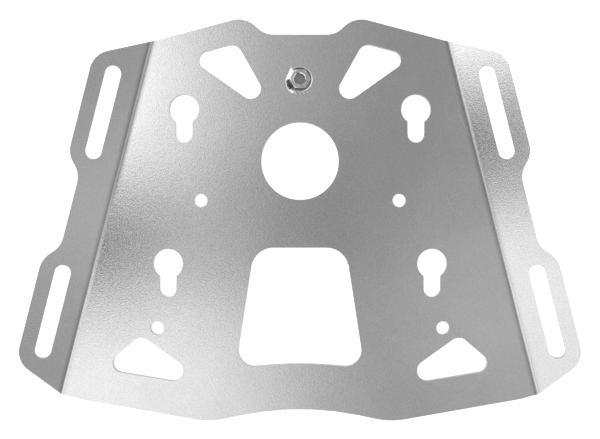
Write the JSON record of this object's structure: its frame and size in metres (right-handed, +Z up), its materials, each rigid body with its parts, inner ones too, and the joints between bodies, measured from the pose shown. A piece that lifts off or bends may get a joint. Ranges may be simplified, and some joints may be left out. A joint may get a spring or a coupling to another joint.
{
  "type": "top case mounting plate",
  "caption": "Folded stainless sheet with splayed side wings, strap slots, keyholes, bolt holes, cut-outs and a welded nut, for carrying a motorbike top case.",
  "frame": {"origin": "centre of the large hole, on the deck's lower face", "axes": "+Z up through the deck towards the side to which the wings rise, +Y to the front edge with the two lobes, +X to the right wing"},
  "size_m": [0.2976, 0.2145, 0.0096],
  "materials": {
    "sheet": "bare mill-finish stainless sheet, fine mottled grain, semi-gloss",
    "nut": "bare machined stainless, semi-gloss",
    "weld": "bare weld metal, glossy and uneven"
  },
  "bodies": {
    "root": {"plate": "sheet", "weld_nut": "nut", "weld_bead": "weld"}
  },
  "joints": []
}
